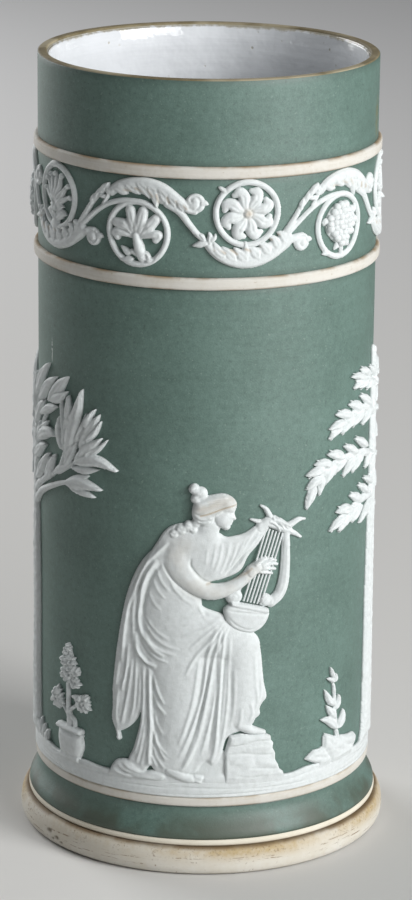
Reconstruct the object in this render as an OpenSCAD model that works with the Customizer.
// Spill vase: a straight stoneware cylinder with a coloured dip on the outside, a glazed inside,
// turned bands, a luted foot ring and white sprigged reliefs laid on the wall.
// Millimetres. +Z is up, the front scene faces -Y and the origin is under the middle of the foot.

/* [Vase] */
// Height from the table to the crown of the lip
overall_h = 156.5; // [150:0.5:165]
// Outside radius of the coloured wall
wall_r = 33; // [31:0.5:36]
// Thickness of the white body in the wall
body_t = 1.8; // [1.4:0.1:3]
// Thickness of the coloured dip
dip_t = 0.5; // [0.3:0.1:0.8]
// Thickness of the glaze inside
glaze_t = 0.3; // [0.2:0.1:0.5]
// Thickness of the body's floor
floor_t = 4; // [3:0.5:8]
// Radius between the floor and the wall inside
floor_round = 6; // [3:0.5:10]
// Height of the bare rounded lip
lip_h = 0.8; // [0.5:0.1:1.5]

/* [Foot] */
// How far the foot ring stands out past the fillet
ring_proud = 1.7; // [1:0.1:3]
// Height of the foot ring
ring_h = 5.6; // [4:0.2:8]
// Radius of the opening in the foot ring
ring_hole_r = 28.5; // [20:0.5:31]
// Height of the bare fillet on the foot ring
fillet_h = 1.4; // [0.8:0.1:2.5]
// How far the foot flares out past the wall
foot_flare = 2.1; // [1:0.1:3]
// Height of the coloured foot
foot_h = 6.2; // [4:0.2:9]

/* [Bands] */
// Height of the two bands beside the frieze
band_h = 2.4; // [1.6:0.1:3.5]
// Height of the band under the scene
base_band_h = 2.1; // [1.6:0.1:3.5]
// How far the bands stand out from the coloured wall
band_proud = 0.8; // [0.4:0.1:1.4]
// Height from the upper band to the crown of the lip
rim_panel_h = 16.2; // [10:0.2:22]
// Height of the frieze between its two bands
frieze_h = 18.7; // [15:0.1:22]

/* [Frieze sprigs] */
// Thickness of the scroll leaves
scroll_t = 1.0; // [0.6:0.1:1.4]
// Thickness of the medallion rings
medallion_t = 0.8; // [0.5:0.1:1.2]
// Thickness of the flowers inside the rings
flower_t = 1.2; // [0.8:0.1:1.6]

/* [Scene sprigs] */
// Height of the ground strip under the scene
ground_h = 3.3; // [2:0.1:5]
// Thickness of the ground strip
ground_t = 1.0; // [0.6:0.1:1.2]
// Height of the standing figure
figure_h = 60; // [50:1:64]
// Thickness of the figure's flat parts
figure_t = 0.7; // [0.5:0.1:1]
// Thickness of the figure's raised parts
figure_raised_t = 1.5; // [1.2:0.1:2]
// Height of the two trees
tree_h = 79; // [65:1:84]
// Thickness of the trees and plants
plant_t = 0.9; // [0.6:0.1:1.4]
// Height of the potted plant
potted_plant_h = 23.7; // [18:0.5:28]
// Height of the sapling on its rocks
sapling_h = 19.7; // [15:0.5:24]

/* [Hidden] */
$fn = 128;

// Colours of the clay, dip and glaze
white = [0.90, 0.92, 0.91];
cream = [0.82, 0.80, 0.72];
green = [0.45, 0.55, 0.50];
buff = [0.80, 0.76, 0.64];
blue_white = [0.87, 0.89, 0.91];

// Radii of the wall's layers
body_r = wall_r - dip_t;
body_in_r = body_r - body_t;
bore_r = body_in_r - glaze_t;

// Heights of the wall's divisions, from the table up
z_foot = ring_h + fillet_h;
z_base_band = z_foot + foot_h;
z_field = z_base_band + base_band_h;
z_lip = overall_h - lip_h;
z_rim = overall_h - rim_panel_h;
z_upper_band = z_rim - band_h;
z_frieze = z_upper_band - frieze_h;
z_lower_band = z_frieze - band_h;
z_ground = z_field + ground_h;
fillet_r = wall_r + foot_flare + 0.15;
ring_r = fillet_r + ring_proud;

// The reliefs are drawn flat: x runs along a wall of this radius, y up from the table
drawn_r = 33;
drawn_ground = 18.6;
drawn_frieze = 119.2;
drawn_frieze_h = 18.7;
scroll_count = 5;
drawn_pitch = 2 * PI * drawn_r / scroll_count;
pitch = 2 * PI * wall_r / scroll_count;
figure_k = figure_h / 60;
tree_k = tree_h / 79;
plant_k = potted_plant_h / 23.7;
sapling_k = sapling_h / 19.7;

// Angle on the wall of a distance drawn along it
function turn(u) = u / drawn_r * 180 / PI;

// A smooth curve through hand-placed points, closed or open
function cubic(a, b, c, d, t) = b + (c - a) * t / 2 + (2 * a - 5 * b + 4 * c - d) * t * t / 2
    + (3 * b - a - 3 * c + d) * t * t * t / 2;
function loop(p, n = 3) = let (m = len(p))
    [for (i = [0:m - 1], k = [0:n - 1])
        cubic(p[(i + m - 1) % m], p[i], p[(i + 1) % m], p[(i + 2) % m], k / n)];
function run(p, n = 4) = let (m = len(p) - 1)
    concat([for (i = [0:m - 1], k = [0:n - 1])
        cubic(p[max(i - 1, 0)], p[i], p[i + 1], p[min(i + 2, m)], k / n)], [p[m]]);

// A stem of changing width along a curve
function across(q, i) = let (a = q[max(i - 1, 0)], b = q[min(i + 1, len(q) - 1)], d = (b - a) / norm(b - a))
    [-d.y, d.x];
function stem(p, w0, w1, n = 4) = let (q = run(p, n), m = len(q) - 1)
    concat([for (i = [0:m]) q[i] + across(q, i) * (w0 + (w1 - w0) * i / m) / 2],
        [for (i = [m:-1:0]) q[i] - across(q, i) * (w0 + (w1 - w0) * i / m) / 2]);

// A pointed leaf from its base to its tip, w wide each side
function leaf(base, tip, w, n = 7) = let (d = tip - base, s = [-d.y, d.x] / norm(d))
    concat([for (i = [0:n]) let (t = i / n) base + d * t + s * w * (0.2 * (1 - t) + sin(180 * pow(t, 0.8)))],
        [for (i = [n - 1:-1:0]) let (t = i / n)
            base + d * t - s * w * (0.2 * (1 - t) + sin(180 * pow(t, 0.8)))]);

function disc(c, r, n = 28) = [for (i = [0:n - 1]) c + r * [cos(360 * i / n), sin(360 * i / n)]];
function moved(p, d) = [for (q = p) q + d];

// An outline drawn about u = at, sized by k from the ground line and stood on the ground strip
function stood(p, at, k) = [for (q = p) [at + (q.x - at) * k, z_ground + (q.y - drawn_ground) * k]];
// An outline of the frieze, stretched to close the ring of scrolls
function fitted(p) = [for (q = p) [q.x * pitch / drawn_pitch,
    z_frieze + (q.y - drawn_frieze) * frieze_h / drawn_frieze_h]];

// A layer of clay bent round the wall, from height h0 to h1 above the dip
module layer(h1, h0 = 0) {
    intersection() {
        difference() {
            cylinder(r = wall_r + h1, h = overall_h);
            translate([0, 0, -1]) cylinder(r = wall_r + h0, h = overall_h + 2);
        }
        union() children();
    }
}

// A flat outline turned to its place on the wall and pushed out through it
module cut(outline, at = 0) {
    rotate([0, 0, turn(at)]) rotate([90, 0, 0]) linear_extrude(height = 2 * wall_r)
        polygon([for (p = outline) [wall_r * sin((p.x - at) / wall_r * 180 / PI), p.y]]);
}

// A ring of clay turned from its section
module turned(section) {
    rotate_extrude() polygon(section);
}

// The rounded section of a band that stands on height z
function band_section(z, h) = let (e = min(band_proud, h / 2) * 0.75, r = wall_r + band_proud)
    concat([[body_r, z]],
        [for (a = [-90:15:0]) [r - e + e * cos(a), z + e + e * sin(a)]],
        [for (a = [0:15:90]) [r - e + e * cos(a), z + h - e + e * sin(a)]],
        [[body_r, z + h]]);

// The foot's side, an S curve from the wall out to the fillet
function foot_side(r0) = [for (i = [0:12]) let (t = i / 12)
    [r0 + foot_flare * (1 - cos(180 * pow(t, 1.2))) / 2, z_base_band - foot_h * t]];

module body() {
    corner = [for (a = [0:15:90]) [body_in_r - floor_round + floor_round * cos(a),
        ring_h + floor_t + floor_round - floor_round * sin(a)]];
    lip = [for (a = [0:12:180]) [(wall_r + bore_r) / 2 + (wall_r - bore_r) / 2 * cos(a),
        z_lip + lip_h * sin(a)]];
    color(cream) turned(concat([[0, ring_h], [fillet_r, ring_h], [fillet_r, z_foot]],
        [for (i = [12:-1:0]) foot_side(body_r)[i]],
        [[body_r, z_lip]], lip, [[body_in_r, z_lip]], corner, [[0, ring_h + floor_t]]));
}

module glaze_lining() {
    z0 = ring_h + floor_t;
    outer = [for (a = [90:-15:0]) [body_in_r - floor_round + floor_round * cos(a),
        z0 + floor_round - floor_round * sin(a)]];
    inner = [for (a = [0:15:90]) [body_in_r - floor_round + (floor_round - glaze_t) * cos(a),
        z0 + floor_round - (floor_round - glaze_t) * sin(a)]];
    color(blue_white) turned(concat([[0, z0]], outer, [[body_in_r, z_lip], [bore_r, z_lip]], inner,
        [[0, z0 + glaze_t]]));
}

module dip(z0, z1) {
    color(green) difference() {
        translate([0, 0, z0]) cylinder(r = wall_r, h = z1 - z0);
        translate([0, 0, z0 - 1]) cylinder(r = body_r, h = z1 - z0 + 2);
    }
}

module rim_dip() { dip(z_rim, z_lip); }
module frieze_dip() { dip(z_frieze, z_upper_band); }
module field_dip() { dip(z_field, z_lower_band); }

module foot_dip() {
    color(green) turned(concat([for (i = [0:12]) foot_side(wall_r)[i]],
        [for (i = [12:-1:0]) foot_side(body_r)[i]]));
}

module upper_band() { color(cream) turned(band_section(z_upper_band, band_h)); }
module lower_band() { color(cream) turned(band_section(z_lower_band, band_h)); }
module base_band() { color(cream) turned(band_section(z_base_band, base_band_h)); }

module foot_ring() {
    color(buff) turned(concat([[ring_hole_r, 0], [ring_r - 0.15, 0], [ring_r, 0.3]],
        [for (a = [0:15:90]) [fillet_r + 0.1 + (ring_proud - 0.1) * cos(a),
            ring_h * 0.3 + ring_h * 0.7 * sin(a)]],
        [[ring_hole_r, ring_h]]));
}

// Frieze: a leaf lies in each trough of the running scroll, another over each crest
trough_leaf = loop([[-8.4, 126.4], [-7.5, 124.5], [-5.5, 122.6], [-2.5, 121.3], [0.5, 121], [3.5, 121.6],
    [6.6, 123.2], [9, 124.7], [8.6, 126.4], [6.9, 127.5], [5.6, 126.3], [4.3, 125.4], [1.5, 124.5],
    [-1.5, 124.3], [-4.5, 124.9], [-6.2, 126], [-7, 127.8], [-7.9, 127.2]]);
trough_spur = leaf([-7.6, 126.2], [-10.3, 125.4], 0.6);
trough_stem = stem([[6.8, 126.4], [9, 128.6], [11, 130.4], [12.4, 132]], 1.6, 1.2);
crest_leaf = loop([[-7.2, 134.6], [-5, 136.1], [-1.5, 137.2], [2, 137.5], [5.5, 136.8], [8, 135], [9.6, 133.4],
    [8.6, 132.1], [6.4, 132.7], [4.6, 131.6], [3.4, 133.8], [0, 134.7], [-3.5, 134.3], [-5.6, 133]]);
crest_stem = stem([[6.2, 132.8], [8.8, 130.6], [11, 128.4], [11.9, 127.3]], 1.3, 1.0);

module scroll_curl(c) {
    cut(fitted(disc(c, 1.7)));
    cut(fitted(leaf(c + [1.2, 0.1], c + [2.4, 0.2], 0.5)));
}

module trough_scrolls() {
    color(white) for (i = [0:scroll_count - 1])
        rotate([0, 0, turn(7.5) + 360 / scroll_count * i]) union() {
            layer(scroll_t) {
                cut(fitted(trough_leaf));
                cut(fitted(trough_spur));
                cut(fitted(trough_stem));
                scroll_curl([10.6, 125.2]);
            }
            layer(scroll_t + 0.4, scroll_t / 2)
                cut(fitted(stem([[-6.8, 125.4], [-3.5, 123.2], [0.5, 122.6], [4.5, 123.6], [7.6, 125.6]], 0.8, 1.2)));
        }
}

module crest_scrolls() {
    color(white) for (i = [0:scroll_count - 1])
        rotate([0, 0, turn(28.2) + 360 / scroll_count * i]) union() {
            layer(scroll_t) {
                cut(fitted(crest_leaf));
                cut(fitted(crest_stem));
                scroll_curl([11, 133.2]);
            }
            layer(scroll_t + 0.4, scroll_t / 2)
                cut(fitted(stem([[-5.8, 134.2], [-2.5, 135.7], [1.5, 136], [5, 135], [8, 133.4]], 0.8, 1.2)));
        }
}

// A ring with its flower, centred at height y
module medallion(y) {
    layer(medallion_t) difference() {
        cut(fitted(disc([0, y], 6.5, 48)));
        cut(fitted(disc([0, y], 5.3, 48)));
    }
    layer(flower_t) {
        cut(fitted(stem([[0, y - 5.8], [0, y - 4.6], [0, y - 2]], 1.4, 1)));
        children();
    }
}

// Troughs stand at every second step and crests between them; each ring has its own flower
module at_trough(i) { rotate([0, 0, turn(7.5) + 360 / scroll_count * i]) children(); }
module at_crest(i) { rotate([0, 0, turn(28.2) + 360 / scroll_count * i]) children(); }

module rosette_medallions() {
    petals = [for (a = [0:4:356]) [0, 131.3] + (3.4 + cos(a * 8)) * [cos(a + 22), sin(a + 22)]];
    color(white) for (i = [-2, 0, 2]) at_trough(i) medallion(131.3) cut(fitted(petals));
}

module lily_medallions() {
    color(white) for (i = [-1, 1]) at_trough(i) medallion(131.3)
        for (s = [-2:2]) cut(fitted(leaf([s * 0.4, 128], [s * 1.9, 134.6 - abs(s) * 0.7], 0.9)));
}

module grape_medallions() {
    berries = [for (a = [0:4:356]) [0, 127.2] + (3.8 + 0.4 * cos(a * 12)) * [cos(a), 0.95 * sin(a)]];
    color(white) for (i = [-2, 0, 2]) at_crest(i) medallion(127.1) cut(fitted(berries));
}

module palmette_medallions() {
    color(white) for (i = [-1, 1]) at_crest(i) medallion(127.1)
        for (a = [-105:35:105]) cut(fitted(leaf([0, 125.6], [0, 125.6] + 4.8 * [sin(a), cos(a)], 0.95)));
}

module ground_strip() {
    color(white) difference() {
        translate([0, 0, z_field]) cylinder(r = wall_r + ground_t, h = ground_h);
        translate([0, 0, z_field - 1]) cylinder(r = wall_r, h = ground_h + 2);
    }
}

// The lyre player, seen from the left side: hair, bent head, mantle, arms and skirt
figure_outline = loop([[-2.4, 77.8], [-1.6, 78.6], [-0.6, 78], [0.4, 77.7], [2.4, 76.9], [4.4, 76.3], [5.8, 75],
    [6.2, 73.8], [6.3, 72.6], [5.8, 71.6], [5.4, 70.3], [4.3, 69.8], [3.9, 68.8], [6.7, 68.3], [8.2, 69.3],
    [10.3, 70.8], [12.6, 71.9], [14.6, 71.6], [16.9, 69.9], [16.2, 68.7], [13.6, 69.7], [11.6, 69.2], [9.6, 66],
    [7, 61.9], [8.9, 63], [10.4, 64], [12.6, 63.6], [14, 62.4], [12.8, 60.8], [10.2, 60.6], [8.2, 59.2],
    [5.6, 57.4], [3.2, 56.3], [1, 56.1], [-1, 56.6], [-0.9, 55.4], [0.8, 54.1], [3.6, 52.8], [4.8, 51],
    [6.6, 49.7], [9.4, 48.9], [10.8, 47.4], [11.3, 45], [11.7, 41], [12.6, 35.5], [11.3, 33.6], [11.1, 32],
    [8.7, 30.1], [9.6, 28.8], [12.4, 28], [6, 27.9], [4.6, 26], [4, 23], [2.6, 22.2], [1, 22.6], [-1.2, 20.7],
    [0.3, 19.4], [-0.4, 18.6], [-4, 18.6], [-8.6, 18.6], [-13, 18.6], [-18.6, 18.6], [-17.6, 20.8], [-14.9, 21.7],
    [-13, 25], [-12, 30.8], [-14, 29], [-16, 27.6], [-16.7, 26], [-17.2, 27.3], [-18.3, 30], [-17.6, 34],
    [-18.2, 35.6], [-17.2, 41], [-16.2, 47], [-15.2, 53], [-13.9, 58], [-11.8, 62.6], [-8.6, 66.4], [-6.2, 68.8],
    [-5.2, 70.3], [-2.5, 71.3], [-2.1, 73.5], [-1.9, 76]]);
upper_arm = loop([[-7.4, 64.5], [-5.6, 67.4], [-2.8, 66.4], [-2.4, 63.4], [1.2, 59.4], [8, 61.2], [9.4, 62.8],
    [11, 63.4], [13, 62.2], [10.6, 61], [8, 59.4], [4, 56.9], [1, 56.5], [-2.4, 58], [-5.4, 61.2]]);
head = loop([[-1.6, 72.4], [-1.4, 75.6], [1, 76.4], [4, 76], [5.6, 74.8], [5.9, 73.2], [5.4, 71.4], [4.6, 70.2],
    [2.2, 70.2], [0, 71]]);
raised_leg = loop([[4.6, 50.4], [8.8, 48.4], [10.4, 46.8], [10.9, 43], [11.2, 38.6], [11.6, 35.8], [9.8, 32.2],
    [7.4, 31.2], [6, 34], [5.2, 40], [4.2, 45]]);
folds = [[[-8.5, 64], [-10.8, 60.5], [-12, 56], [-12.2, 50.5], [-11.2, 48]],
    [[-9.4, 65], [-12.6, 60], [-14.2, 54], [-15, 49], [-15.8, 43], [-16.6, 37]],
    [[-13, 49.5], [-12.4, 46.4], [-11, 44], [-8.6, 42.4]],
    [[-10.2, 41.5], [-10.3, 35], [-10, 29], [-10.2, 22.5]],
    [[-4.6, 45], [-4.5, 34], [-5, 25], [-5, 21]],
    [[2.2, 45], [1.4, 39], [0.3, 33], [-1.2, 27.6], [-4, 21.6]],
    [[3.8, 45], [3.6, 37], [2.9, 29.5], [2, 23.2]],
    [[3.6, 52], [0, 50], [-4, 48.6]]];

module figure() {
    color(white) union() {
        layer(figure_t) cut(stood(figure_outline, 0, figure_k));
        layer(figure_raised_t, figure_t / 2) {
            cut(stood(upper_arm, 0, figure_k));
            cut(stood(head, 0, figure_k));
            cut(stood(raised_leg, 0, figure_k));
        }
        layer(figure_t + 0.4, figure_t / 2)
            for (f = folds) cut(stood(stem(f, 0.9, 0.9), 0, figure_k));
    }
}

// The lyre: bowl, two arms, crossbar with horned ends and six strings
lyre_bowl = loop([[4.2, 54.6], [3.9, 53], [4.6, 51.3], [6.2, 50], [8, 49.3], [9.6, 49.2], [11.4, 50], [12.5, 51.6],
    [12.7, 53], [11.6, 54.6], [8.5, 55.4]]);
lyre_arm = stem([[11.6, 54.9], [14, 55], [15.4, 57], [15.8, 61], [16, 65], [16.3, 69.2]], 2.4, 1.4);
lyre_bar = stem([[10.4, 71.2], [13, 70.9], [15.4, 69.6], [17.8, 68.6]], 1.2, 1.8);

module lyre() {
    color(white) difference() {
        layer(plant_t) {
            cut(stood(lyre_bowl, 0, figure_k));
            cut(stood(disc([5.6, 56.2], 1.5), 0, figure_k));
            cut(stood(lyre_arm, 0, figure_k));
            cut(stood(lyre_bar, 0, figure_k));
            cut(stood(stem([[12.3, 71.4], [11.8, 73], [10.5, 74.3]], 1.6, 0.5), 0, figure_k));
            cut(stood(stem([[11, 71], [9, 71.8]], 0.9, 0.4), 0, figure_k));
            cut(stood(stem([[17, 69], [18.6, 70.3], [20.4, 70.5]], 1.6, 0.5), 0, figure_k));
            cut(stood(stem([[17.2, 68.4], [19.6, 67.2]], 1, 0.4), 0, figure_k));
            for (i = [0:5]) cut(stood(stem([[7.8 + 0.62 * i, 55], [12.2 + 0.62 * i, 70.2 - 0.3 * i]], 0.4, 0.4),
                0, figure_k));
        }
        layer(3 * plant_t, -1) cut(stood(figure_outline, 0, figure_k));
    }
}

// The block under the raised foot
footrest_outline = loop([[4.2, 18.6], [4.3, 22], [4.5, 25], [6, 27.6], [9, 28], [13.2, 27.5], [14, 26], [14.4, 24],
    [14.9, 21.6], [16, 19.8], [16, 18.6], [10, 18.6]], 2);

module footrest() {
    color(white) difference() {
        union() {
            layer(figure_t + 0.3) cut(stood(footrest_outline, 0, figure_k));
            layer(figure_t + 0.7, figure_t / 2)
                for (y = [20.6, 22.9, 25.4]) cut(stood(stem([[5.4, y], [9, y - 0.2], [13.4, y + 0.1]], 1.7, 1.5),
                    0, figure_k));
        }
        layer(3 * plant_t, -1) cut(stood(figure_outline, 0, figure_k));
    }
}

module front_figure() { figure(); }
module front_lyre() { lyre(); }
module front_footrest() { footrest(); }
module back_figure() { rotate([0, 0, 180]) figure(); }
module back_lyre() { rotate([0, 0, 180]) lyre(); }
module back_footrest() { rotate([0, 0, 180]) footrest(); }

// Tree with broad pointed leaves: a bare trunk, then a branch and its leaves on both sides
leafy_at = -47.5;
leafy_branch = [[0, 67], [7.5, 72.5], [12.5, 75.4], [15.6, 78.6], [17, 84], [17.4, 88]];
leafy_leaves = [[[16, 77], [26.6, 75.6], 1.9], [[17, 79], [30, 80.2], 1.3], [[17, 80.5], [28.1, 85.9], 1.5],
    [[17.4, 83], [26, 90.6], 1.6], [[17.2, 84], [21.8, 94.6], 1.5], [[17.4, 87], [17.6, 92.8], 1.0],
    [[16.2, 81], [14.2, 87.6], 0.9], [[8.5, 73], [12.8, 79.8], 1.3], [[4.5, 71], [9.4, 79.4], 1.3],
    [[0.3, 81], [13.2, 84.2], 1.3], [[0.3, 85], [14, 89.7], 1.4], [[0.2, 88.5], [13.5, 95.4], 1.5],
    [[0.2, 90.5], [9.8, 97.2], 1.5], [[0.3, 76.5], [8.6, 81], 1.2]];

module leafy_tree() {
    color(white) layer(plant_t) {
        cut(moved(stood(stem([[0, 18.6], [-0.4, 35], [0.4, 52], [0, 68], [0, 92]], 3.2, 1.2), 0, tree_k),
            [leafy_at, 0]), leafy_at);
        cut(moved(stood(loop([[-3.4, 18.6], [-2, 21], [0, 26], [2, 21], [6, 19.6], [9, 18.6], [3, 18.6]]), 0, tree_k),
            [leafy_at, 0]), leafy_at);
        for (s = [-1, 1]) {
            side = [for (p = leafy_branch) [s * p.x, p.y]];
            cut(moved(stood(stem(side, 2.2, 0.8), 0, tree_k), [leafy_at, 0]), leafy_at);
            for (f = leafy_leaves)
                cut(moved(stood(leaf([s * f[0].x, f[0].y], [s * f[1].x, f[1].y], f[2]), 0, tree_k),
                    [leafy_at, 0]), leafy_at);
        }
    }
}

// Tree with drooping fronds, each a curved rib with leaflets in pairs
drooping_at = 45.5;
fronds = [[[0, 91], [-5, 94.4], [-12, 96]],
    [[0, 84], [-5.5, 88], [-10.5, 89], [-15.5, 87.6], [-19, 85.6]],
    [[0, 74], [-5.5, 79], [-10.5, 80.3], [-15.5, 80.4], [-19.5, 79.4], [-22.4, 77], [-24.2, 73]],
    [[0, 66], [-5.5, 69.6], [-10.5, 69.5], [-14.5, 68.4], [-18.4, 66.8]]];

module frond(rib, s) {
    q = [for (p = run(rib, 5)) [s * p.x, p.y]];
    m = len(q) - 1;
    cut(moved(stood(stem(q, 1.1, 0.7, 1), 0, tree_k), [drooping_at, 0]), drooping_at);
    for (i = [4:3:m - 1], k = [-1, 1]) {
        d = (q[i + 1] - q[i - 1]) / norm(q[i + 1] - q[i - 1]);
        cut(moved(stood(leaf(q[i] - d * 0.3, q[i] + d * 2 + [-d.y, d.x] * 2.2 * k, 0.7), 0, tree_k),
            [drooping_at, 0]), drooping_at);
    }
    d = (q[m] - q[m - 2]) / norm(q[m] - q[m - 2]);
    cut(moved(stood(leaf(q[m - 1], q[m] + d * 1.2, 0.8), 0, tree_k), [drooping_at, 0]), drooping_at);
}

module drooping_tree() {
    color(white) layer(plant_t) {
        cut(moved(stood(stem([[0, 18.6], [0.4, 40], [-0.2, 62], [0.3, 82], [0, 97.2]], 3.4, 1.2), 0, tree_k),
            [drooping_at, 0]), drooping_at);
        cut(moved(stood(loop([[-4, 18.6], [-2, 20.6], [0, 25], [2, 20.6], [4, 18.6]]), 0, tree_k),
            [drooping_at, 0]), drooping_at);
        for (s = [-1, 1], f = fronds) frond(f, s);
    }
}

// Potted plant: stepped plinth, bowl with a lip, stem and three clumps of leaves
potted_at = -30.2;
pot = [[-5.2, 18.6], [-5.2, 19.2], [-3.4, 19.4], [-4.4, 21.4], [-4.4, 23.6], [-4.8, 23.8], [-4.8, 25.2], [4.8, 25.2],
    [4.8, 23.8], [4.9, 22.4], [4.2, 20.8], [3.6, 19.4], [5.2, 19.2], [5.2, 18.6]];

function clump(c, rx, ry, n) = [for (a = [0:8:352]) c + (1 + 0.12 * cos(a * n)) * [rx * cos(a), ry * sin(a)]];

module potted_plant() {
    color(white) union() {
        layer(plant_t) {
            cut(moved(stood(pot, 0, plant_k), [potted_at, 0]), potted_at);
            cut(moved(stood(stem([[0, 24.6], [0.3, 29], [0.2, 35]], 2.2, 1.4), 0, plant_k), [potted_at, 0]), potted_at);
            cut(moved(stood(stem([[0, 26], [-1.4, 28], [-2.6, 29.6]], 1.2, 0.8), 0, plant_k), [potted_at, 0]), potted_at);
            cut(moved(stood(stem([[0, 27], [1.6, 28.8], [3, 30]], 1.2, 0.8), 0, plant_k), [potted_at, 0]), potted_at);
            cut(moved(stood(clump([0.4, 37.4], 3.7, 4.4, 9), 0, plant_k), [potted_at, 0]), potted_at);
            cut(moved(stood(clump([-3.7, 29.8], 2.7, 2.5, 8), 0, plant_k), [potted_at, 0]), potted_at);
            cut(moved(stood(clump([3.9, 30.6], 2.6, 2.2, 8), 0, plant_k), [potted_at, 0]), potted_at);
        }
        layer(plant_t + 0.4, plant_t / 2)
            cut(moved(stood([[-4.6, 24], [-4.6, 25], [4.6, 25], [4.6, 24]], 0, plant_k), [potted_at, 0]), potted_at);
    }
}

module front_potted_plant() { potted_plant(); }
module back_potted_plant() { rotate([0, 0, 180]) potted_plant(); }

// Sapling: a thin curved stem with small leaves on two rocks
sapling_at = 30;
sapling_leaves = [[[0, 25], [-4.4, 27.8], 1], [[0.4, 25], [2.9, 28.2], 1], [[-0.2, 27.6], [-2.9, 30.4], 0.8],
    [[-0.5, 30], [-3.2, 33.8], 0.9], [[-0.4, 29.4], [0.9, 32], 0.7], [[-1.2, 34.8], [-2.8, 36.2], 0.5],
    [[-1, 34.8], [-0.2, 36.4], 0.5], [[-1.3, 35.4], [-1.8, 38.3], 0.7]];

module sapling() {
    color(white) layer(plant_t) {
        cut(moved(stood(loop([[-3.8, 24.2], [-2.7, 24.6], [0.3, 23.5], [2.5, 22.8], [6.5, 22.2], [7.6, 21.3], [6.2, 18.6],
            [0, 18.6], [-2, 18.6], [-3.6, 21.4]]), 0, sapling_k), [sapling_at, 0]), sapling_at);
        cut(moved(stood(loop([[-8.4, 20.6], [-6.5, 22], [-4, 21.9], [-2.4, 20.4], [-2.4, 18.6], [-6.8, 18.6]]), 0,
            sapling_k), [sapling_at, 0]), sapling_at);
        cut(moved(stood(stem([[0.3, 22.6], [-0.2, 28], [-0.8, 33], [-1.5, 36.6]], 1, 0.6), 0, sapling_k),
            [sapling_at, 0]), sapling_at);
        for (f = sapling_leaves) cut(moved(stood(leaf(f[0], f[1], f[2]), 0, sapling_k), [sapling_at, 0]), sapling_at);
    }
}

module front_sapling() { sapling(); }
module back_sapling() { rotate([0, 0, 180]) sapling(); }

body();
glaze_lining();
rim_dip();
frieze_dip();
field_dip();
foot_dip();
upper_band();
lower_band();
base_band();
foot_ring();
trough_scrolls();
crest_scrolls();
rosette_medallions();
lily_medallions();
grape_medallions();
palmette_medallions();
ground_strip();
front_figure();
front_lyre();
front_footrest();
back_figure();
back_lyre();
back_footrest();
leafy_tree();
drooping_tree();
front_potted_plant();
back_potted_plant();
front_sapling();
back_sapling();
